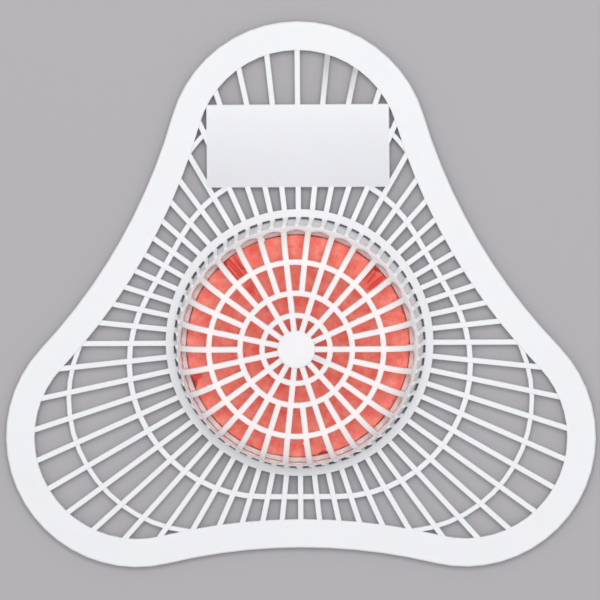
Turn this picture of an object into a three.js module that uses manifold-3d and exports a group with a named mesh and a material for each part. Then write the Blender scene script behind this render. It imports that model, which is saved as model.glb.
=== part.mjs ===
// Three-lobed urinal screen with a drum-shaped cage, a round deodorizer block and a snap-in cage floor.
// Millimetres, +Z up. The cage stands on the origin and the bare plate lies towards +Y.
import * as THREE from "three";
import { mergeVertices } from "three/addons/utils/BufferGeometryUtils.js";
import Module from "manifold-3d";

// Outline of the flat screen and the plain band that runs round it
const lobeReach = 108.6;
const waistDepth = 6.65;
const lobeRadius = 44.2;
const bandWidth = 9.7;
const bandThickness = 2.8;
const bandEdge = 0.45;

// Straight ribs that run from the drum to the band
const ribCount = 60;
const ribWidth = 1.8;
const ribThickness = 2.6;

// Curved loops across the ribs
const innerLoopOut = 14.7;
const innerLoopRadius = 45;
const innerLoopWidth = 1.8;
const outerLoopOut = 38.6;
const outerLoopRadius = 45;
const outerLoopWidth = 1.55;
const loopSink = 0.1;

// Bare plate in the upper lobe
const plateWidth = 61.7;
const plateLength = 28;
const plateOut = 66.65;
const plateThickness = 1.7;
const plateEdge = 0.3;

// Drum of the cage, its rounded shoulder and the flat ring at its foot
const cageHeight = 29;
const drumFootRadius = 42;
const drumDraft = 1.5;
const drumWall = 1.3;
const shoulderWidth = 9.9;
const shoulderHeight = 11;
const grilleThickness = 1.8;
const footSlot = 0.65;
const footRingWidth = 2.65;
const footRingThickness = 2.2;
const barDepth = 0.45;
const barWidth = 1.5;

// Openings of the grille on top of the drum
const grilleRibs = 15;
const grilleRibWidth = 1.9;
const bossRadius = 6.3;
const bossRise = 0.25;
const firstRingRadius = 10.5;
const secondRingRadius = 17.9;
const thirdRingRadius = 28.3;
const grilleRingWidth = 1.8;
const openingReach = 39;
const archRadius = 6.6;

// Pressed block, loose in the cage
const blockPlay = 0.4;
const blockThickness = 15;
const blockEdge = 1.6;
const chipRadius = 3.2;

// Floor that closes the cage from below
const floorThickness = 1.8;
const lipHeight = 11;
const lipWidth = 1.2;
const flangeWidth = 4.6;
const hubRadius = 10.5;
const spokeCount = 12;
const clearance = 0.3;

const wasm = await Module();
wasm.setup();

const TAU = Math.PI * 2;
const LOBES = [0, 1, 2].map((k) => Math.PI / 2 + (k * TAU) / 3);
const ribPitch = TAU / ribCount;

const screenBottom = floorThickness + clearance;
const ribTop = screenBottom + ribThickness;
const drumTopRadius = drumFootRadius - drumDraft;
const shoulderFoot = cageHeight - shoulderHeight;
const slotOuter = drumFootRadius + footSlot;
const footRingOuter = slotOuter + footRingWidth;
const lipOuter = drumFootRadius - drumWall - lipHeight * 0.12 - clearance;
const lipInner = lipOuter - lipWidth;
const blockRadius = lipInner - blockPlay;

// A closed geometry as a solid
function solid(geometry) {
  const plain = geometry.clone();
  plain.deleteAttribute("normal");
  plain.deleteAttribute("uv");
  const merged = mergeVertices(plain, 1e-4);
  const source = merged.index.array;
  const triangles = [];
  for (let i = 0; i < source.length; i += 3) {
    const [a, b, c] = [source[i], source[i + 1], source[i + 2]];
    if (a !== b && b !== c && c !== a) {
      triangles.push(a, b, c);
    }
  }
  const mesh = new wasm.Mesh({
    numProp: 3,
    vertProperties: new Float32Array(merged.attributes.position.array),
    triVerts: new Uint32Array(triangles),
  });
  return new wasm.Manifold(mesh);
}

// A flat shape raised from z0 to z1, with its edges broken by edge
function raise(shape, z0, z1, edge = 0, curveSegments = 12) {
  const geometry = new THREE.ExtrudeGeometry(shape, {
    depth: z1 - z0 - 2 * edge,
    bevelEnabled: edge > 0,
    bevelThickness: edge,
    bevelSize: edge,
    bevelOffset: -edge,
    bevelSegments: 1,
    curveSegments,
  });
  geometry.translate(0, 0, z0 + edge);
  return solid(geometry);
}

// A closed profile of radius and height turned about the axis
function turn(profile, segments) {
  const points = profile.map(([r, z]) => new THREE.Vector2(r, z));
  if (THREE.ShapeUtils.area(points) < 0) {
    points.reverse();
  }
  points.push(points[0].clone());
  const geometry = new THREE.LatheGeometry(points, segments);
  geometry.rotateX(Math.PI / 2);
  return solid(geometry);
}

// A ring, or a disc where the inner radius is nought
function ring(inner, outer, z0, z1, curveSegments = 30) {
  const shape = new THREE.Shape();
  shape.absarc(0, 0, outer, 0, TAU, false);
  if (inner > 0) {
    const hole = new THREE.Path();
    hole.absarc(0, 0, inner, 0, TAU, true);
    shape.holes.push(hole);
  }
  return raise(shape, z0, z1, 0, curveSegments);
}

// A profile of radius and height, made into a web of the given width that stands at an angle
function web(profile, width, angle) {
  const shape = new THREE.Shape(profile.map(([r, z]) => new THREE.Vector2(r, z)));
  const geometry = new THREE.ExtrudeGeometry(shape, { depth: width, bevelEnabled: false });
  geometry.translate(0, 0, -width / 2);
  geometry.rotateX(Math.PI / 2);
  geometry.rotateZ(angle);
  return solid(geometry);
}

function polar(radius, angle) {
  return new THREE.Vector2(radius * Math.cos(angle), radius * Math.sin(angle));
}

// Circle centres of the outline: convex lobes joined by hollow waists that touch them
const lobeOut = lobeReach - lobeRadius;
const waistReach = lobeOut / 2 + lobeRadius - waistDepth;
const waistRadius =
  (lobeOut ** 2 + waistReach ** 2 - lobeOut * waistReach - lobeRadius ** 2) /
  (2 * waistDepth);
const waistOut = waistReach + waistRadius;

// The three-lobed outline, drawn in by inset
function outline(PathType, inset) {
  const path = new PathType();
  for (const axis of LOBES) {
    const lobe = polar(lobeOut, axis);
    const waist = polar(waistOut, axis + TAU / 6);
    const lean = waist.clone().sub(lobe).angle() - axis;
    const turnOf = Math.atan2(Math.sin(lean), Math.cos(lean));
    const back = axis + turnOf + Math.PI;
    const mirrored = 2 * (axis + TAU / 6) - back;
    path.absarc(lobe.x, lobe.y, lobeRadius - inset, axis - turnOf, axis, false);
    path.absarc(lobe.x, lobe.y, lobeRadius - inset, axis, axis + turnOf, false);
    path.absarc(waist.x, waist.y, waistRadius + inset, back, mirrored, true);
  }
  return path;
}

// Distance from the axis to the outline, drawn in by inset, at an angle
function outlineRadius(angle, inset) {
  const third = TAU / 3;
  const offAxis = angle - Math.PI / 2 + third / 2;
  const t = Math.abs(offAxis - third * Math.floor(offAxis / third) - third / 2);
  const u = third / 2 - t;
  const lobe = new THREE.Vector2(lobeOut, 0);
  const waist = polar(waistOut, third / 2);
  const touch = lobe.clone().lerp(waist, lobeRadius / (lobeRadius + waistRadius));
  const small = lobeRadius - inset;
  const large = waistRadius + inset;
  if (t < touch.angle()) {
    return lobeOut * Math.cos(t) + Math.sqrt(Math.max(small ** 2 - (lobeOut * Math.sin(t)) ** 2, 0));
  }
  return waistOut * Math.cos(u) - Math.sqrt(Math.max(large ** 2 - (waistOut * Math.sin(u)) ** 2, 0));
}

// A closed loop round three circles, joined by straight runs
function roundedTriangle(PathType, out, radius) {
  const path = new PathType();
  for (const axis of LOBES) {
    const centre = polar(out, axis);
    path.absarc(centre.x, centre.y, radius, axis - TAU / 6, axis + TAU / 6, false);
  }
  path.closePath();
  return path;
}

// The band is a plate with broken outer edges and the inner field cut away
function band() {
  const low = screenBottom - (bandThickness - ribThickness) / 2;
  const slab = raise(outline(THREE.Shape, 0), low, low + bandThickness, bandEdge, 5);
  const field = raise(outline(THREE.Shape, bandWidth), low - 1, low + bandThickness + 1, 0, 5);
  return slab.subtract(field);
}

function innerLoop() {
  const shape = roundedTriangle(THREE.Shape, innerLoopOut, innerLoopRadius + innerLoopWidth / 2);
  shape.holes.push(roundedTriangle(THREE.Path, innerLoopOut, innerLoopRadius - innerLoopWidth / 2));
  return raise(shape, screenBottom + loopSink, ribTop - loopSink, 0, 8);
}

// Half the angle of an outer arc, from the middle of its lobe to the first place where it is inside the band
function outerLoopSweep(axis, centre) {
  const step = TAU / 720;
  let sweep = step;
  let point = polar(outerLoopRadius, axis).add(centre);
  while (point.length() < outlineRadius(point.angle(), bandWidth - outerLoopWidth)) {
    sweep += step;
    point = polar(outerLoopRadius, axis + sweep).add(centre);
  }
  return sweep;
}

function arcBetween(centre, from, to) {
  const shape = new THREE.Shape();
  const halfWidth = outerLoopWidth / 2;
  shape.absarc(centre.x, centre.y, outerLoopRadius + halfWidth, from, to, false);
  shape.absarc(centre.x, centre.y, outerLoopRadius - halfWidth, to, from, true);
  return shape;
}

// The arc of the second loop in each lobe, which ends inside the band. In the upper lobe it stops under the plate.
function outerLoops() {
  const underPlate = Math.asin((plateWidth / 2 - 1) / outerLoopRadius);
  const shapes = LOBES.flatMap((axis, k) => {
    const centre = polar(outerLoopOut, axis);
    const sweep = outerLoopSweep(axis, centre);
    if (k > 0) {
      return [arcBetween(centre, axis - sweep, axis + sweep)];
    }
    return [
      arcBetween(centre, axis + underPlate, axis + sweep),
      arcBetween(centre, axis - sweep, axis - underPlate),
    ];
  });
  return shapes.map((shape) => raise(shape, screenBottom + loopSink, ribTop - loopSink, 0, 8));
}

function plate() {
  const shape = new THREE.Shape();
  const [x, y] = [plateWidth / 2, plateLength / 2];
  shape.moveTo(-x, plateOut - y);
  shape.lineTo(x, plateOut - y);
  shape.lineTo(x, plateOut + y);
  shape.lineTo(-x, plateOut + y);
  shape.closePath();
  const top = ribTop + 0.08;
  return raise(shape, top - plateThickness, top, plateEdge);
}

// Each rib runs from the drum, over the ring at its foot, into the band
function ribs() {
  const start = drumFootRadius - drumWall / 2;
  return Array.from({ length: ribCount }, (_, k) => {
    const angle = Math.PI / 2 + k * ribPitch;
    const reach = outlineRadius(angle, bandWidth / 2);
    const profile = [
      [start, screenBottom],
      [reach, screenBottom],
      [reach, ribTop],
      [start, ribTop],
    ];
    return web(profile, ribWidth, angle);
  });
}

// The wall of the drum, with an upright bar over each rib, narrows a little towards the top
function drumWallSolid() {
  const wallLow = screenBottom + loopSink;
  const shape = new THREE.Shape();
  const barRadius = drumFootRadius + barDepth;
  const atWall = Math.asin(barWidth / 2 / drumFootRadius);
  const atBar = Math.asin(barWidth / 2 / barRadius);
  for (let k = 0; k < ribCount; k += 1) {
    const angle = Math.PI / 2 + k * ribPitch;
    const corners = [
      polar(drumFootRadius, angle - atWall),
      polar(barRadius, angle - atBar),
      polar(barRadius, angle + atBar),
      polar(drumFootRadius, angle + atWall),
    ];
    if (k === 0) {
      shape.moveTo(corners[0].x, corners[0].y);
    }
    corners.forEach((corner) => shape.lineTo(corner.x, corner.y));
  }
  shape.closePath();
  const hole = new THREE.Path();
  hole.absarc(0, 0, drumFootRadius - drumWall, 0, TAU, true);
  shape.holes.push(hole);
  const geometry = new THREE.ExtrudeGeometry(shape, {
    depth: shoulderFoot - wallLow,
    bevelEnabled: false,
    curveSegments: ribCount / 2,
  });
  const position = geometry.attributes.position;
  for (let i = 0; i < position.count; i += 1) {
    const rise = position.getZ(i) / (shoulderFoot - wallLow);
    const scale = 1 - (drumDraft / drumFootRadius) * rise;
    position.setXYZ(i, position.getX(i) * scale, position.getY(i) * scale, position.getZ(i));
  }
  geometry.translate(0, 0, wallLow);
  return solid(geometry);
}

// Quarter of an ellipse from the flat top of the drum to its wall
function shoulder(flatRadius, top, width, height, steps) {
  return Array.from({ length: steps + 1 }, (_, i) => {
    const a = (Math.PI / 2) * (i / steps);
    return [flatRadius + width * Math.sin(a), top - height + height * Math.cos(a)];
  });
}

// The flat top of the cage, its rounded shoulder and a tongue down into the wall, before the openings are cut
function domeSolid() {
  const flatRadius = drumTopRadius - shoulderWidth;
  const wallAtTop = drumWall * (drumTopRadius / drumFootRadius);
  const outside = shoulder(flatRadius, cageHeight, shoulderWidth, shoulderHeight, 4);
  const insideWidth = shoulderWidth - wallAtTop;
  const insideHeight = shoulderHeight - grilleThickness;
  const inside = shoulder(flatRadius, cageHeight - grilleThickness, insideWidth, insideHeight, 2);
  const tongue = wallAtTop / 4;
  return turn(
    [
      [bossRadius / 2, cageHeight],
      ...outside,
      [drumTopRadius - tongue, shoulderFoot - tongue],
      [drumTopRadius - wallAtTop + tongue, shoulderFoot - tongue],
      ...inside.reverse(),
      [bossRadius / 2, cageHeight - grilleThickness],
    ],
    ribCount,
  );
}

// The part of a circular field between two grille ribs, with sides parallel to the ribs
function opening(inner, outer, from, pitch, arch) {
  const half = grilleRibWidth / 2;
  const near = Math.asin(half / inner);
  const far = Math.asin(half / outer);
  const middle = from + pitch / 2;
  const shape = new THREE.Shape();
  shape.absarc(0, 0, inner, from + pitch - near, from + near, true);
  if (arch > 0) {
    const spread = pitch / 2 - far;
    const chord = outer * Math.sin(spread);
    const radius = Math.max(arch, chord * 1.02);
    const sweep = Math.asin(chord / radius);
    const centre = polar(outer * Math.cos(spread) - radius * Math.cos(sweep), middle);
    shape.absarc(centre.x, centre.y, radius, middle - sweep, middle, false);
    shape.absarc(centre.x, centre.y, radius, middle, middle + sweep, false);
  } else {
    shape.absarc(0, 0, outer, from + far, from + pitch - far, false);
  }
  return shape;
}

function openings() {
  const wide = TAU / grilleRibs;
  const narrow = wide / 2;
  const start = Math.PI / 2 + ribPitch;
  const low = shoulderFoot;
  const high = cageHeight + 1;
  const flatLow = cageHeight - grilleThickness - 1;
  const flatRadius = drumTopRadius - shoulderWidth;
  const result = [];
  for (let k = 0; k < grilleRibs; k += 1) {
    const from = start + k * wide;
    result.push(raise(opening(bossRadius, firstRingRadius, from, wide, 0), flatLow, high, 0, 1));
    const second = firstRingRadius + grilleRingWidth;
    result.push(raise(opening(second, secondRingRadius, from, wide, 0), flatLow, high, 0, 1));
  }
  for (let k = 0; k < 2 * grilleRibs; k += 1) {
    const from = start + k * narrow;
    const third = secondRingRadius + grilleRingWidth;
    result.push(raise(opening(third, thirdRingRadius, from, narrow, 0), flatLow, high, 0, 1));
    const last = Math.max(thirdRingRadius + grilleRingWidth, flatRadius - 1.5);
    result.push(raise(opening(last, openingReach, from, narrow, archRadius), low, high, 0, 1));
  }
  return result;
}

function screenSolid() {
  const dome = domeSolid().subtract(wasm.Manifold.union(openings()));
  const boss = ring(0, bossRadius, cageHeight - grilleThickness - 0.6, cageHeight + bossRise, 15);
  const ringLow = screenBottom + loopSink;
  const footRing = ring(slotOuter, footRingOuter, ringLow, ringLow + footRingThickness);
  const flat = [footRing, band(), innerLoop(), ...outerLoops(), plate(), ...ribs()];
  return wasm.Manifold.union([dome, drumWallSolid(), boss, ...flat]).simplify(0.001);
}

// The block has broken edges and a few small chips round its rim
function blockSolid() {
  const low = floorThickness + clearance;
  const high = low + blockThickness;
  const block = turn(
    [
      [0, low],
      [blockRadius - blockEdge, low],
      [blockRadius, low + blockEdge],
      [blockRadius, high - blockEdge],
      [blockRadius - blockEdge, high],
      [0, high],
    ],
    72,
  );
  const chips = [132, 45, 199, 283].map((degrees, i) => {
    const size = chipRadius * (1 - i / 12);
    const at = polar(blockRadius + size * 0.45, THREE.MathUtils.degToRad(degrees));
    const chip = new THREE.SphereGeometry(size, 8, 5);
    chip.translate(at.x, at.y, high);
    return solid(chip);
  });
  return block.subtract(wasm.Manifold.union(chips));
}

// The floor has a hub, one ring and spokes, a flange and an upright lip that fits inside the drum
function floorSolid() {
  const flangeOuter = drumFootRadius - clearance;
  const flangeInner = lipInner - flangeWidth;
  const flange = turn(
    [
      [flangeInner, 0],
      [flangeOuter, 0],
      [flangeOuter, floorThickness],
      [lipOuter, floorThickness],
      [lipOuter, floorThickness + lipHeight],
      [lipInner, floorThickness + lipHeight],
      [lipInner, floorThickness],
      [flangeInner, floorThickness],
    ],
    48,
  );
  const hub = ring(0, hubRadius, 0, floorThickness, 15);
  const middle = (hubRadius + flangeInner - grilleRingWidth) / 2;
  const hoop = ring(middle, middle + grilleRingWidth, 0, floorThickness, 20);
  const spokes = Array.from({ length: spokeCount }, (_, k) => {
    const profile = [
      [hubRadius * 0.8, 0],
      [flangeInner + flangeWidth / 2, 0],
      [flangeInner + flangeWidth / 2, floorThickness],
      [hubRadius * 0.8, floorThickness],
    ];
    return web(profile, grilleRibWidth, Math.PI / 2 + (k * TAU) / spokeCount);
  });
  return wasm.Manifold.union([flange, hub, hoop, ...spokes]).simplify(0.001);
}

function meshOf(body, name, colour, roughness) {
  const { vertProperties, triVerts } = body.getMesh();
  const geometry = new THREE.BufferGeometry();
  geometry.setAttribute("position", new THREE.BufferAttribute(new Float32Array(vertProperties), 3));
  geometry.setIndex(new THREE.BufferAttribute(new Uint32Array(triVerts), 1));
  geometry.computeVertexNormals();
  const material = new THREE.MeshStandardMaterial({ color: colour, roughness, metalness: 0 });
  material.name = name;
  const mesh = new THREE.Mesh(geometry, material);
  mesh.name = name;
  return mesh;
}

const part = new THREE.Group();
part.name = "urinal_deodorizer_screen";
part.add(meshOf(screenSolid(), "screen", "#eff1f3", 0.5));
part.add(meshOf(blockSolid(), "deodorizer_block", "#ff6a5c", 0.85));
part.add(meshOf(floorSolid(), "cage_floor", "#eceef0", 0.55));

export default part;
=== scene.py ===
"""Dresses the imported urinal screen: a soft white moulding, a pressed coral block and the cage floor."""

import logging
import math
from dataclasses import dataclass
from enum import Enum

import bpy
from mathutils import Matrix, Vector


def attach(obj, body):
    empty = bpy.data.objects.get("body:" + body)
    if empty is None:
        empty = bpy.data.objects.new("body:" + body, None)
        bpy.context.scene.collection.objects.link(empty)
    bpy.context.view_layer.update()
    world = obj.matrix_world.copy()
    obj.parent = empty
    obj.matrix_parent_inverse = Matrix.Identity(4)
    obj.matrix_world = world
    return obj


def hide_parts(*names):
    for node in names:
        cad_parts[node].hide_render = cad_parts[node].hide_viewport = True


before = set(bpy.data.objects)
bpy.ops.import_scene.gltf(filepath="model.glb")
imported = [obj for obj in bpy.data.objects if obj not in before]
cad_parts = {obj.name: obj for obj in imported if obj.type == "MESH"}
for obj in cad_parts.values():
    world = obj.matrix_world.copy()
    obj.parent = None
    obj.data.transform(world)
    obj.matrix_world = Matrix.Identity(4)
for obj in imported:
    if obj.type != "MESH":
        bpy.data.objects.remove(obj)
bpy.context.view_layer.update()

LOG = logging.getLogger("urinal_screen")
MM = 0.001
BLOCK_TOP = 16.95 * MM
ROUND_STEPS = 180
SMOOTH_ANGLE = math.radians(34)
BEVEL_ANGLE = math.radians(40)


class Side(Enum):
    """The way a lamp stands from the object."""

    MAIN = (0.05, 0.22, 1.0)
    LEFT = (-0.55, 0.10, 1.0)
    RIGHT = (0.55, 0.0, 1.0)


def deselect_all() -> None:
    """Leaves edit mode and clears the selection."""
    if bpy.context.object and bpy.context.object.mode != "OBJECT":
        bpy.ops.object.mode_set(mode="OBJECT")
    bpy.ops.object.select_all(action="DESELECT")


def only(piece: bpy.types.Object) -> bpy.types.Object:
    """Makes a piece the only one selected, and the active one.

    Args:
        piece: The object to work on.

    Returns:
        The same object.
    """
    deselect_all()
    piece.select_set(True)
    bpy.context.view_layer.objects.active = piece
    return piece


def settle(piece: bpy.types.Object) -> bpy.types.Object:
    """Applies a piece's place, turn and size to its mesh.

    Args:
        piece: The object to settle.

    Returns:
        The same object, at the origin, unturned and unscaled.
    """
    only(piece)
    bpy.ops.object.transform_apply(location=True, rotation=True, scale=True)
    return piece


def apply_modifiers(piece: bpy.types.Object) -> None:
    """Applies every modifier of a piece in order.

    Args:
        piece: The object to finish.
    """
    only(piece)
    for name in [modifier.name for modifier in piece.modifiers]:
        bpy.ops.object.modifier_apply(modifier=name)


def break_edges(piece: bpy.types.Object, width: float) -> None:
    """Rounds the sharp edges of a piece.

    Args:
        piece: The object to round.
        width: Width of the rounding in metres.
    """
    bevel = piece.modifiers.new("rounded edges", "BEVEL")
    bevel.width = width
    bevel.segments = 3
    bevel.limit_method = "ANGLE"
    bevel.angle_limit = BEVEL_ANGLE
    apply_modifiers(piece)


def hoop(name: str, inner: float, outer: float, low: float, high: float) -> bpy.types.Object:
    """Makes a square-edged ring round the upright axis.

    Args:
        name: The piece's name.
        inner: Inner radius in metres.
        outer: Outer radius in metres.
        low: Height of its underside.
        high: Height of its top.

    Returns:
        The ring.
    """
    deselect_all()
    bpy.ops.mesh.primitive_cylinder_add(
        vertices=ROUND_STEPS,
        radius=(inner + outer) / 2,
        depth=high - low,
        end_fill_type="NOTHING",
        location=(0, 0, (high + low) / 2),
    )
    piece = settle(bpy.context.object)
    piece.name = name
    wall = piece.modifiers.new("width", "SOLIDIFY")
    wall.thickness = outer - inner
    wall.offset = 0.0
    apply_modifiers(piece)
    return piece


class Bench:
    """The node tree of one material, with short ways to add and join its nodes."""

    def __init__(self, name: str) -> None:
        """Starts an empty material.

        Args:
            name: The material's name.
        """
        self.material = bpy.data.materials.new(name)
        self.material.use_nodes = True
        self.tree = self.material.node_tree
        self.tree.nodes.clear()
        self.output = self.tree.nodes.new("ShaderNodeOutputMaterial")
        self.shader = self.add("ShaderNodeBsdfPrincipled")
        self.join(self.shader, "BSDF", self.output, "Surface")
        self.place = self.add("ShaderNodeTexCoord")

    def add(self, kind: str, **settings: object) -> bpy.types.Node:
        """Adds a node.

        Args:
            kind: The node's type.
            settings: Properties of the node, or values of its inputs by name.

        Returns:
            The new node.
        """
        node = self.tree.nodes.new(kind)
        for key, value in settings.items():
            if key in node.inputs:
                node.inputs[key].default_value = value
            else:
                setattr(node, key, value)
        return node

    def join(self, start: bpy.types.Node, out: str | int, end: bpy.types.Node, into: str | int) -> None:
        """Joins an output to an input.

        Args:
            start: The node that gives.
            out: Its output.
            end: The node that takes.
            into: Its input.
        """
        self.tree.links.new(start.outputs[out], end.inputs[into])

    def noise(self, scale: float, detail: float = 3.0, rough: float = 0.5) -> bpy.types.Node:
        """Adds a noise that reads the object's own coordinates.

        Args:
            scale: Grains to the metre.
            detail: Octaves.
            rough: How strong the finer octaves are.

        Returns:
            The noise node.
        """
        node = self.add("ShaderNodeTexNoise", Scale=scale, Detail=detail, Roughness=rough)
        self.join(self.place, "Object", node, "Vector")
        return node

    def ramp(
        self, source: bpy.types.Node, out: str | int, stops: list[tuple[float, tuple]]
    ) -> bpy.types.Node:
        """Adds a colour ramp after a value.

        Args:
            source: The node that gives the value.
            out: Its output.
            stops: Position and colour of each stop.

        Returns:
            The ramp node.
        """
        node = self.add("ShaderNodeValToRGB")
        while len(node.color_ramp.elements) < len(stops):
            node.color_ramp.elements.new(0.5)
        for element, (position, colour) in zip(node.color_ramp.elements, stops):
            element.position = position
            element.color = (*colour, 1.0)
        self.join(source, out, node, "Fac")
        return node

    def span(
        self, source: bpy.types.Node, out: str | int, low: float, high: float, a: float, b: float
    ) -> bpy.types.Node:
        """Maps a value from one range to another, held at both ends.

        Args:
            source: The node that gives the value.
            out: Its output.
            low: Start of the range read.
            high: End of the range read.
            a: Value given at the start.
            b: Value given at the end.

        Returns:
            The map range node.
        """
        node = self.add("ShaderNodeMapRange")
        for key, value in zip(("From Min", "From Max", "To Min", "To Max"), (low, high, a, b)):
            node.inputs[key].default_value = value
        self.join(source, out, node, "Value")
        return node

    def axis(self, name: str) -> bpy.types.Node:
        """Reads one of the object's own coordinates.

        Args:
            name: X, Y or Z.

        Returns:
            A node whose Value is the coordinate.
        """
        parts = self.add("ShaderNodeSeparateXYZ")
        self.join(self.place, "Object", parts, "Vector")
        value = self.add("ShaderNodeMath", operation="ADD")
        value.inputs[1].default_value = 0.0
        self.join(parts, name, value, 0)
        return value

    def reach(self) -> bpy.types.Node:
        """Reads the distance from the upright axis.

        Returns:
            A node whose Value is the distance.
        """
        x, y = self.axis("X"), self.axis("Y")
        squares = self.maths("ADD", self.maths("MULTIPLY", x, x), self.maths("MULTIPLY", y, y))
        return self.maths("SQRT", squares)

    def maths(
        self, operation: str, a: bpy.types.Node, b: bpy.types.Node | float | None = None
    ) -> bpy.types.Node:
        """Adds a sum of one or two values.

        Args:
            operation: What is done.
            a: The node that gives the first value.
            b: The second value, or the node that gives it.

        Returns:
            The maths node.
        """
        node = self.add("ShaderNodeMath", operation=operation)
        self.tree.links.new(a.outputs[0], node.inputs[0])
        if isinstance(b, bpy.types.Node):
            self.tree.links.new(b.outputs[0], node.inputs[1])
        elif b is not None:
            node.inputs[1].default_value = b
        return node

    def mix(
        self, mask: bpy.types.Node, base: bpy.types.Node, colour: tuple[float, float, float]
    ) -> bpy.types.Node:
        """Lays a colour over another where a mask says so.

        Args:
            mask: The node that gives the share of the new colour.
            base: The node that gives the colour below.
            colour: The new colour.

        Returns:
            The mix node.
        """
        node = self.add("ShaderNodeMix", data_type="RGBA")
        colours = [socket for socket in node.inputs if socket.type == "RGBA"]
        self.tree.links.new(mask.outputs[0], node.inputs[0])
        self.tree.links.new(self.colour_of(base), colours[0])
        colours[1].default_value = (*colour, 1.0)
        return node

    def colour_of(self, node: bpy.types.Node) -> bpy.types.NodeSocket:
        """Finds the output of a node that gives a colour.

        Args:
            node: A ramp or mix node.

        Returns:
            The output.
        """
        return next(socket for socket in node.outputs if socket.type == "RGBA")

    def paint(self, node: bpy.types.Node) -> None:
        """Uses a node's colour as the surface colour.

        Args:
            node: A ramp or mix node.
        """
        self.tree.links.new(self.colour_of(node), self.shader.inputs["Base Color"])

    def bump(
        self,
        height: bpy.types.Node,
        out: str | int,
        strength: float,
        depth: float,
        base: bpy.types.Node | None = None,
    ) -> bpy.types.Node:
        """Adds a bump.

        Args:
            height: The node that gives the height.
            out: Its output.
            strength: How much of it is used.
            depth: Depth in metres.
            base: A node whose Normal the bump adds to.

        Returns:
            The bump node.
        """
        node = self.add("ShaderNodeBump", Strength=strength, Distance=depth)
        self.join(height, out, node, "Height")
        if base is not None:
            self.join(base, "Normal", node, "Normal")
        return node


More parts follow.
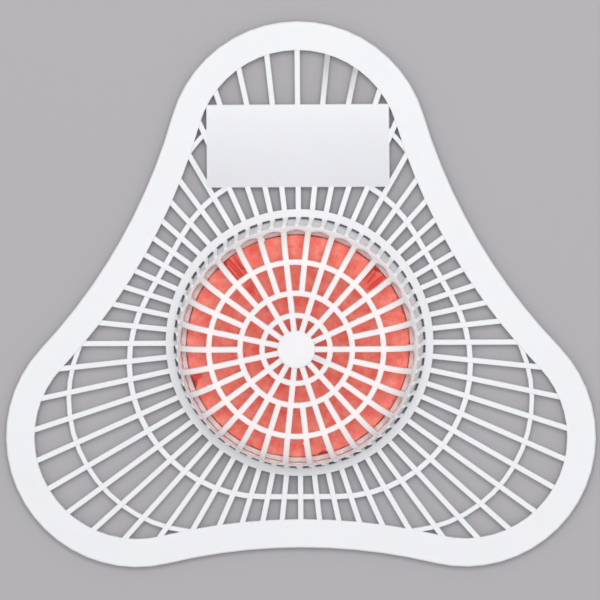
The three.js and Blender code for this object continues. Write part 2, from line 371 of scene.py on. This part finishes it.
@dataclass(frozen=True)
class VinylFinish:
    """Soft white moulded vinyl, a little translucent, with painted light laid into its colour: a pink
    reflection of the block on the cage, the block's pink showing through between the drum's bars, and
    shade on the foot ring.
    """

    name: str
    white: tuple[float, float, float] = (0.822, 0.830, 0.856)
    dull: tuple[float, float, float] = (0.810, 0.816, 0.842)
    # Painted reflection: the block's pink bounced onto the white cage, laid into the colour.
    painted_block_reflection: tuple[float, float, float] = (0.905, 0.850, 0.852)
    # Painted light: the block's pink seen through the thin wall between the bars, laid into the colour.
    thin: tuple[float, float, float] = (0.930, 0.860, 0.878)
    # Painted shade: the foot ring darkened where the drum shades it.
    painted_ring_shade: tuple[float, float, float] = (0.780, 0.785, 0.806)
    glow: float = 0.9 * MM
    roughness: float = 0.42
    edge_radius: float = 0.28 * MM
    cloud_scale: float = 26.0
    grain_scale: float = 900.0
    wave_scale: float = 60.0
    bars: int = 60

    def make(self) -> bpy.types.Material:
        """Builds the material.

        Returns:
            The material.
        """
        bench = Bench(self.name)
        cloud = bench.noise(self.cloud_scale, 4.0)
        tone = bench.ramp(cloud, "Fac", [(0.3, self.dull), (0.7, self.white)])
        # Painted reflection of the block: pink laid over the cage, stronger away from the axis.
        away = bench.span(bench.reach(), "Value", 8.0 * MM, 26.0 * MM, 0.15, 1.0)
        near = bench.maths("MULTIPLY", away, self._cage_mask(bench, 0.0, 40.6))
        reflected_tint = bench.mix(near, tone, self.painted_block_reflection)
        # Painted light: pink show-through of the block on the wall between the bars.
        between = self._between_bars(bench)
        shown_through = bench.mix(between, reflected_tint, self.thin)
        # Painted shade on the flat ring at the foot of the cage.
        patch = bench.mix(self._ring_mask(bench, 42.6, 45.4), shown_through, self.painted_ring_shade)
        bench.paint(patch)
        grain = bench.noise(self.grain_scale, 3.0, 0.6)
        gloss = bench.span(grain, "Fac", 0.3, 0.7, self.roughness - 0.05, self.roughness + 0.08)
        bench.join(gloss, "Result", bench.shader, "Roughness")
        edge = bench.add("ShaderNodeBevel", Radius=self.edge_radius, samples=6)
        wave = bench.noise(self.wave_scale, 2.0)
        wide = bench.bump(wave, "Fac", 0.25, 0.4 * MM, edge)
        fine = bench.bump(grain, "Fac", 0.18, 0.05 * MM, wide)
        bench.join(fine, "Normal", bench.shader, "Normal")
        bench.shader.inputs["IOR"].default_value = 1.46
        bench.shader.inputs["Subsurface Weight"].default_value = 0.7
        bench.shader.inputs["Subsurface Radius"].default_value = (1.0, 0.85, 0.8)
        bench.shader.inputs["Subsurface Scale"].default_value = self.glow
        return bench.material

    def _ring_mask(self, bench: Bench, inner: float, outer: float) -> bpy.types.Node:
        """Gives 1 on the flat ring at the foot of the cage.

        Args:
            bench: The material's bench.
            inner: Inner radius in millimetres.
            outer: Outer radius in millimetres.

        Returns:
            The node that gives the mask.
        """
        reach = bench.reach()
        out = bench.span(reach, "Value", (inner - 0.1) * MM, inner * MM, 0.0, 1.0)
        back = bench.span(reach, "Value", (outer - 0.1) * MM, outer * MM, 1.0, 0.0)
        low = bench.span(bench.axis("Z"), "Value", 4.8 * MM, 5.0 * MM, 1.0, 0.0)
        return bench.maths("MULTIPLY", bench.maths("MULTIPLY", out, back), low)

    def _cage_mask(self, bench: Bench, inner: float, outer: float) -> bpy.types.Node:
        """Gives 1 on the cage between two distances from its axis, and 0 on the flat screen.

        Args:
            bench: The material's bench.
            inner: Inner distance in millimetres, or nought.
            outer: Outer distance in millimetres.

        Returns:
            The node that gives the mask.
        """
        reach = bench.reach()
        mask = bench.span(reach, "Value", (outer - 0.5) * MM, outer * MM, 1.0, 0.0)
        height = bench.axis("Z")
        above = bench.span(height, "Value", 4.8 * MM, 5.6 * MM, 0.0, 1.0)
        mask = bench.maths("MULTIPLY", mask, above)
        if inner > 0.0:
            out = bench.span(reach, "Value", inner * MM, (inner + 0.5) * MM, 0.0, 1.0)
            mask = bench.maths("MULTIPLY", mask, out)
        return mask

    def _between_bars(self, bench: Bench) -> bpy.types.Node:
        """Gives 1 on the thin wall between the bars of the drum.

        Args:
            bench: The material's bench.

        Returns:
            The node that gives the mask.
        """
        turn = bench.maths("ARCTAN2", bench.axis("Y"), bench.axis("X"))
        count = bench.maths("MULTIPLY", turn, self.bars / math.tau)
        away = bench.maths("PINGPONG", count, 0.5)
        gap = bench.span(away, "Value", 0.19, 0.26, 0.0, 1.0)
        return bench.maths("MULTIPLY", gap, self._cage_mask(bench, 38.5, 43.5))


@dataclass(frozen=True)
class PressedFinish:
    """Pressed coral compound: matt, mottled and crumbly, with painted shade that darkens it with depth
    below the top.
    """

    name: str
    coral: tuple[float, float, float] = (0.985, 0.268, 0.210)
    pale: tuple[float, float, float] = (0.990, 0.360, 0.278)
    deep: tuple[float, float, float] = (0.970, 0.180, 0.145)
    # Painted shade: dark red laid in the furrows, chips and down the side.
    painted_deep_shade: tuple[float, float, float] = (0.800, 0.085, 0.070)
    top: float = BLOCK_TOP
    shade_depths: tuple[float, float] = (1.3 * MM, 0.55 * MM)
    roughness: float = 0.78
    patch_scale: float = 340.0
    crumb_scale: float = 520.0
    grain_scale: float = 1300.0

    def make(self) -> bpy.types.Material:
        """Builds the material.

        Returns:
            The material.
        """
        bench = Bench(self.name)
        patch = bench.noise(self.patch_scale, 9.0, 0.74)
        tone = bench.ramp(patch, "Fac", [(0.39, self.deep), (0.5, self.coral), (0.61, self.pale)])
        # Painted shade: darker the deeper below the top, in furrows, chips and down the side.
        deepest, shallowest = self.shade_depths
        depth_shade = bench.span(bench.axis("Z"), "Value", self.top - deepest, self.top - shallowest, 0.85, 0.0)
        bench.paint(bench.mix(depth_shade, tone, self.painted_deep_shade))
        grain = bench.noise(self.grain_scale, 4.0, 0.65)
        gloss = bench.span(grain, "Fac", 0.3, 0.7, self.roughness - 0.1, self.roughness + 0.1)
        bench.join(gloss, "Result", bench.shader, "Roughness")
        crumb = bench.noise(self.crumb_scale, 5.0, 0.7)
        wide = bench.bump(crumb, "Fac", 0.7, 0.7 * MM)
        fine = bench.bump(grain, "Fac", 0.4, 0.15 * MM, wide)
        bench.join(fine, "Normal", bench.shader, "Normal")
        bench.shader.inputs["Subsurface Weight"].default_value = 0.15
        bench.shader.inputs["Subsurface Radius"].default_value = (1.0, 0.3, 0.25)
        bench.shader.inputs["Subsurface Scale"].default_value = 1.2 * MM
        return bench.material


@dataclass(frozen=True)
class ShoulderBar:
    """Sizes of the bars that curve from the foot of the shoulder down through the wall of the cage."""

    count: int = 60
    width: float = 1.5 * MM
    rise: float = 0.42 * MM
    sink: float = 0.5 * MM
    sweep: float = math.radians(31)
    steps: int = 5


@dataclass
class ScreenMoulding:
    """The one-piece screen with its cage."""

    finish: VinylFinish
    cage_finish: VinylFinish
    cage_foot: float = 5.2 * MM
    cage_reach: float = 43.6 * MM
    bar: ShoulderBar = ShoulderBar()
    merge: float = 0.002 * MM
    flatness: float = math.radians(0.6)
    shoulder_out: float = 30.6 * MM
    shoulder_width: float = 9.9 * MM
    shoulder_low: float = 18.0 * MM
    shoulder_height: float = 11.0 * MM
    foot_ring: tuple[float, float] = (42.68 * MM, 45.30 * MM)
    foot_ring_top: float = 4.73 * MM
    foot_ring_depth: float = 1.2 * MM
    nick_sink: float = 0.55 * MM
    nick_lean: tuple[float, float] = (0.3, 0.2)
    nick_shape: tuple[float, float, float] = (1.25, 1.0, 0.8)
    nicks: tuple[tuple[float, float, float], ...] = (
        (106.6, 38.0, 0.55),
        (35.0, 37.8, 0.6),
        (203.1, 34.8, 0.5),
        (202.6, 32.0, 0.5),
        (26.2, 23.0, 0.4),
        (274.4, 31.7, 0.4),
        (286.6, 34.9, 0.4),
    )

    def _shoulder_bar(self) -> bpy.types.Object:
        """Makes one bar that curves from the foot of the shoulder down and inwards, through the wall.

        Returns:
            The bar, where it meets the +X direction.
        """
        deselect_all()
        bar = self.bar
        foot = self.shoulder_out + self.shoulder_width
        bpy.ops.mesh.primitive_plane_add(size=1.0, location=(0, 0, 0))
        piece = bpy.context.object
        piece.name = "shoulder_bar"
        piece.scale = (bar.rise + bar.sink, bar.width, 1.0)
        piece.location = (foot + (bar.rise - bar.sink) / 2, 0.0, self.shoulder_low)
        settle(piece)
        bpy.ops.object.mode_set(mode="EDIT")
        bpy.ops.mesh.select_all(action="SELECT")
        bpy.ops.mesh.spin(
            steps=bar.steps,
            dupli=False,
            angle=-bar.sweep,
            center=(self.shoulder_out, 0.0, self.shoulder_low),
            axis=(0.0, 1.0, 0.0),
        )
        bpy.ops.mesh.select_all(action="SELECT")
        bpy.ops.transform.resize(
            value=(1.0, 1.0, self.shoulder_height / self.shoulder_width),
            center_override=(0.0, 0.0, self.shoulder_low),
        )
        bpy.ops.mesh.normals_make_consistent(inside=False)
        bpy.ops.object.mode_set(mode="OBJECT")
        return piece

    def _nick(self, degrees: float, radius: float, size: float) -> bpy.types.Object:
        """Makes a small nick of flash beside a rib of the grille.

        Args:
            degrees: Where round the grille.
            radius: Distance from the axis in millimetres.
            size: Radius of the nick in millimetres.

        Returns:
            The nick.
        """
        deselect_all()
        out = max(radius * MM - self.shoulder_out, 0.0)
        fall = 1.0 - math.sqrt(1.0 - (out / self.shoulder_width) ** 2)
        height = self.shoulder_low + self.shoulder_height * (1.0 - fall) - self.nick_sink
        turn = math.radians(degrees)
        place = (radius * MM * math.cos(turn), radius * MM * math.sin(turn), height)
        bpy.ops.mesh.primitive_ico_sphere_add(subdivisions=2, radius=size * MM, location=place)
        piece = bpy.context.object
        piece.name = "flash_nick"
        piece.rotation_euler = (*self.nick_lean, turn)
        piece.scale = self.nick_shape
        return settle(piece)

    def _foot_ring(self) -> bpy.types.Object:
        """Makes the smooth ring that lies over the ends of the ribs, round the foot of the cage.

        Returns:
            The ring.
        """
        low = self.foot_ring_top - self.foot_ring_depth
        return hoop("foot_ring", *self.foot_ring, low, self.foot_ring_top)

    def _extras(self) -> bpy.types.Object:
        """Makes all the shoulder bars, the ring at the foot and the flash nicks as one object.

        Returns:
            The joined extras.
        """
        first = self._shoulder_bar()
        made = [first]
        for k in range(1, self.bar.count):
            copy = first.copy()
            copy.data = first.data.copy()
            bpy.context.scene.collection.objects.link(copy)
            copy.rotation_euler.z = math.tau * k / self.bar.count
            made.append(settle(copy))
        made.append(self._foot_ring())
        made += [self._nick(*nick) for nick in self.nicks]
        deselect_all()
        for piece in made:
            piece.select_set(True)
        bpy.context.view_layer.objects.active = first
        bpy.ops.object.join()
        return bpy.context.object

    def _paint(self, piece: bpy.types.Object) -> None:
        """Gives the flat screen and the thin walls of the cage their own finishes.

        Args:
            piece: The moulding.
        """
        piece.data.materials.clear()
        piece.data.materials.append(self.finish.make())
        piece.data.materials.append(self.cage_finish.make())
        for face in piece.data.polygons:
            inside = math.hypot(face.center.x, face.center.y) < self.cage_reach
            face.material_index = int(inside and face.center.z > self.cage_foot)

    def build(self) -> bpy.types.Object:
        """Makes the moulding from a merged copy of its solid, shaded round where it is round.

        Returns:
            The dressed moulding.
        """
        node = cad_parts["screen"]
        piece = bpy.data.objects.new("screen_moulding", node.data.copy())
        bpy.context.scene.collection.objects.link(piece)
        only(piece)
        bpy.ops.object.mode_set(mode="EDIT")
        bpy.ops.mesh.select_all(action="SELECT")
        bpy.ops.mesh.remove_doubles(threshold=self.merge)
        bpy.ops.mesh.dissolve_limited(angle_limit=self.flatness)
        bpy.ops.object.mode_set(mode="OBJECT")
        extras = self._extras()
        union = piece.modifiers.new("bars and nicks", "BOOLEAN")
        union.operation = "UNION"
        union.object = extras
        union.solver = "EXACT"
        apply_modifiers(piece)
        bpy.data.objects.remove(extras)
        only(piece)
        bpy.ops.object.shade_smooth_by_angle(angle=SMOOTH_ANGLE)
        self._paint(piece)
        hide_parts("screen")
        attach(piece, "root")
        return piece


@dataclass(frozen=True)
class Furrow:
    """A scored line in the top of the block, in degrees and millimetres."""

    degrees: float
    start: float
    end: float
    width: float
    depth: float
    lean: float = 0.0


@dataclass
class DeodorizerBlock:
    """The pressed disc that lies loose in the cage."""

    finish: PressedFinish
    radius: float = 37.45 * MM
    low: float = 2.3 * MM
    high: float = BLOCK_TOP
    chip_circle: float = 37.5 * MM
    chip_out: float = 0.45
    edge: float = 0.8 * MM
    voxel: float = 0.4 * MM
    chips: tuple[tuple[float, float], ...] = (
        (132.0, 3.2),
        (45.0, 2.9),
        (199.0, 2.7),
        (283.0, 2.4),
        (18.0, 1.6),
        (330.0, 1.5),
    )
    furrows: tuple[Furrow, ...] = (
        Furrow(128.6, 28.0, 39.5, 1.9, 2.0, 2.0),
        Furrow(132.0, 27.5, 39.5, 1.5, 1.7, 1.0),
        Furrow(125.2, 29.0, 39.0, 1.3, 1.5, 3.0),
        Furrow(129.5, 19.5, 28.5, 1.3, 1.0, 2.0),
        Furrow(126.4, 20.5, 28.0, 1.1, 0.9, 2.0),
        Furrow(115.7, 34.0, 38.0, 5.0, 1.3, 0.0),
        Furrow(42.3, 28.0, 39.0, 5.6, 0.9, 0.0),
        Furrow(46.0, 29.0, 38.5, 1.4, 2.0, 0.0),
        Furrow(38.8, 29.0, 38.8, 1.5, 2.1, 0.0),
        Furrow(42.4, 30.5, 37.0, 1.2, 1.8, 8.0),
        Furrow(196.5, 33.0, 39.0, 2.4, 1.5, 10.0),
    )

    def _disc(self) -> bpy.types.Object:
        """Makes the disc with its edges broken.

        Returns:
            The disc.
        """
        deselect_all()
        bpy.ops.mesh.primitive_cylinder_add(
            vertices=120,
            radius=self.radius,
            depth=self.high - self.low,
            end_fill_type="NGON",
            location=(0, 0, (self.high + self.low) / 2),
        )
        disc = settle(bpy.context.object)
        disc.name = "pressed_block"
        break_edges(disc, self.edge)
        return disc

    def _cut(self, disc: bpy.types.Object, cutter: bpy.types.Object) -> None:
        """Takes a cutter's shape out of the disc and removes the cutter.

        Args:
            disc: The disc to cut.
            cutter: The shape to take out.
        """
        cut = disc.modifiers.new("cut", "BOOLEAN")
        cut.operation = "DIFFERENCE"
        cut.object = cutter
        cut.solver = "EXACT"
        apply_modifiers(disc)
        bpy.data.objects.remove(cutter)

    def _chip(self, disc: bpy.types.Object, degrees: float, size: float) -> None:
        """Breaks a chip out of the top edge.

        Args:
            disc: The disc to cut.
            degrees: Where round the edge.
            size: Radius of the chip in millimetres.
        """
        deselect_all()
        turn = math.radians(degrees)
        reach = self.chip_circle + size * self.chip_out * MM
        bpy.ops.mesh.primitive_ico_sphere_add(
            subdivisions=3,
            radius=size * MM,
            location=(reach * math.cos(turn), reach * math.sin(turn), self.high),
        )
        self._cut(disc, settle(bpy.context.object))

    def _furrow(self, disc: bpy.types.Object, furrow: Furrow) -> None:
        """Scores a furrow into the top.

        Args:
            disc: The disc to score.
            furrow: Its place and size.
        """
        deselect_all()
        turn = math.radians(furrow.degrees)
        reach = (furrow.start + furrow.end) / 2 * MM
        bpy.ops.mesh.primitive_ico_sphere_add(subdivisions=3, radius=1.0, location=(0, 0, 0))
        cutter = bpy.context.object
        cutter.scale = ((furrow.end - furrow.start) / 2 * MM, furrow.width / 2 * MM, furrow.depth * MM)
        cutter.rotation_euler.z = turn + math.radians(furrow.lean)
        cutter.location = (reach * math.cos(turn), reach * math.sin(turn), self.high)
        self._cut(disc, settle(cutter))

    def _crumble(self, disc: bpy.types.Object) -> None:
        """Gives the disc its uneven pressed surface.

        Args:
            disc: The disc to roughen.
        """
        remesh = disc.modifiers.new("even mesh", "REMESH")
        remesh.mode = "VOXEL"
        remesh.voxel_size = self.voxel
        for name, kind, scale, strength in (
            ("swells", "CLOUDS", 9.0 * MM, 0.30 * MM),
            ("crumbs", "CLOUDS", 2.2 * MM, 0.36 * MM),
            ("pits", "STUCCI", 1.3 * MM, 0.20 * MM),
        ):
            texture = bpy.data.textures.new(name, kind)
            texture.noise_scale = scale
            displace = disc.modifiers.new(name, "DISPLACE")
            displace.texture = texture
            displace.texture_coords = "LOCAL"
            displace.strength = strength
            displace.mid_level = 0.55
        apply_modifiers(disc)
        only(disc)
        bpy.ops.object.shade_smooth()

    def build(self) -> bpy.types.Object:
        """Makes the block.

        Returns:
            The dressed block.
        """
        disc = self._disc()
        for degrees, size in self.chips:
            self._chip(disc, degrees, size)
        for furrow in self.furrows:
            self._furrow(disc, furrow)
        self._crumble(disc)
        disc.data.materials.clear()
        disc.data.materials.append(self.finish.make())
        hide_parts("deodorizer_block")
        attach(disc, "root")
        return disc


@dataclass
class LipRim:
    """The rim that carries the lip of the cage floor up to just below the top of the block."""

    finish: VinylFinish
    inner: float = 37.55 * MM
    outer: float = 39.26 * MM
    low: float = 12.3 * MM
    high: float = 16.3 * MM
    edge: float = 0.45 * MM

    def build(self) -> bpy.types.Object:
        """Makes the rim.

        Returns:
            The dressed rim.
        """
        rim = hoop("lip_rim", self.inner, self.outer, self.low, self.high)
        break_edges(rim, self.edge)
        bpy.ops.object.shade_smooth_by_angle(angle=SMOOTH_ANGLE)
        rim.data.materials.append(self.finish.make())
        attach(rim, "root")
        return rim


@dataclass
class CageFloor:
    """The floor that closes the cage from below."""

    finish: VinylFinish

    def build(self) -> bpy.types.Object:
        """Dresses the solid of the floor.

        Returns:
            The dressed floor.
        """
        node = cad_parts["cage_floor"]
        node.data.materials.clear()
        node.data.materials.append(self.finish.make())
        return node


@dataclass
class Studio:
    """Floor, soft lamps and the camera."""

    grey: tuple[float, float, float] = (0.440, 0.429, 0.445)
    aim: tuple[float, float] = (0.10 * MM, 14.13 * MM)
    tilt: tuple[float, float] = (math.radians(2.62), math.radians(4.80))
    roll: float = math.radians(-0.457)
    distance: float = 1800 * MM
    scale: float = 0.33858 * MM
    frame_pixels: int = 600
    lamp_size: float = 1.1
    lamp_distance: float = 2.2
    powers: tuple[tuple[Side, float], ...] = ((Side.MAIN, 26.0), (Side.LEFT, 3.0), (Side.RIGHT, 3.0))
    surroundings: float = 0.46
    floor_size: float = 6.0
    floor_low: float = -0.05 * MM

    def floor(self) -> None:
        """Lays the plain pale floor."""
        deselect_all()
        bpy.ops.mesh.primitive_plane_add(size=self.floor_size, location=(0, 0, self.floor_low))
        plane = settle(bpy.context.object)
        plane.name = "floor"
        bench = Bench("pale grey floor")
        bench.shader.inputs["Base Color"].default_value = (*self.grey, 1.0)
        bench.shader.inputs["Roughness"].default_value = 0.9
        bench.shader.inputs["Specular IOR Level"].default_value = 0.1
        plane.data.materials.append(bench.material)

    def lamp(self, side: Side, power: float, size: float) -> None:
        """Hangs a square soft lamp that faces the object.

        Args:
            side: Where it hangs.
            power: Its power in watts.
            size: Its edge in metres.
        """
        data = bpy.data.lights.new("lamp_" + side.name.lower(), "AREA")
        data.energy = power
        data.size = size
        lamp = bpy.data.objects.new(data.name, data)
        bpy.context.scene.collection.objects.link(lamp)
        way = Vector(side.value).normalized()
        lamp.location = way * self.lamp_distance
        lamp.rotation_euler = way.to_track_quat("Z", "Y").to_euler()

    def world(self, strength: float) -> None:
        """Fills the surroundings with even light.

        Args:
            strength: Brightness of the surroundings.
        """
        world = bpy.data.worlds.new("studio")
        world.use_nodes = True
        background = world.node_tree.nodes["Background"]
        background.inputs["Color"].default_value = (1.0, 1.0, 1.0, 1.0)
        background.inputs["Strength"].default_value = strength
        bpy.context.scene.world = world

    def camera(self) -> None:
        """Stands the camera over the object, a little to the right and above."""
        back = Vector((math.sin(self.tilt[0]), math.sin(self.tilt[1]), 0.0))
        back.z = math.sqrt(1.0 - back.x**2 - back.y**2)
        rough_up = Vector((-math.sin(self.roll), math.cos(self.roll), 0.0))
        right = rough_up.cross(back).normalized()
        up = back.cross(right)
        data = bpy.data.cameras.new("camera")
        data.sensor_width = 36.0
        data.lens = data.sensor_width * (self.distance / self.scale) / self.frame_pixels
        data.clip_end = 20.0
        camera = bpy.data.objects.new("camera", data)
        bpy.context.scene.collection.objects.link(camera)
        place = Vector((*self.aim, 0.0)) + back * self.distance
        turn = Matrix((right, up, back)).transposed().to_4x4()
        camera.matrix_world = Matrix.Translation(place) @ turn
        bpy.context.scene.camera = camera

    def build(self) -> None:
        """Sets up the whole studio."""
        self.floor()
        for side, power in self.powers:
            self.lamp(side, power, self.lamp_size)
        self.world(self.surroundings)
        self.camera()
        bpy.context.scene.view_settings.view_transform = "Standard"


def main() -> None:
    """Builds every piece in order and the studio round them."""
    logging.basicConfig(level=logging.INFO, format="%(message)s")
    pieces = (
        ScreenMoulding(
            VinylFinish("soft white vinyl"),
            VinylFinish("soft white vinyl of the cage", glow=2.2 * MM),
        ),
        DeodorizerBlock(PressedFinish("pressed coral compound")),
        CageFloor(VinylFinish("soft white vinyl of the floor")),
        # The lip's colour is darker and pinker: painted shade together with the block's painted pink
        # reflection.
        LipRim(VinylFinish("soft white vinyl of the lip", painted_block_reflection=(0.730, 0.675, 0.662))),
    )
    for maker in pieces:
        piece = maker.build()
        LOG.info("%s: %d faces", piece.name, len(piece.data.polygons))
    Studio().build()


if __name__ == "__main__":
    main()
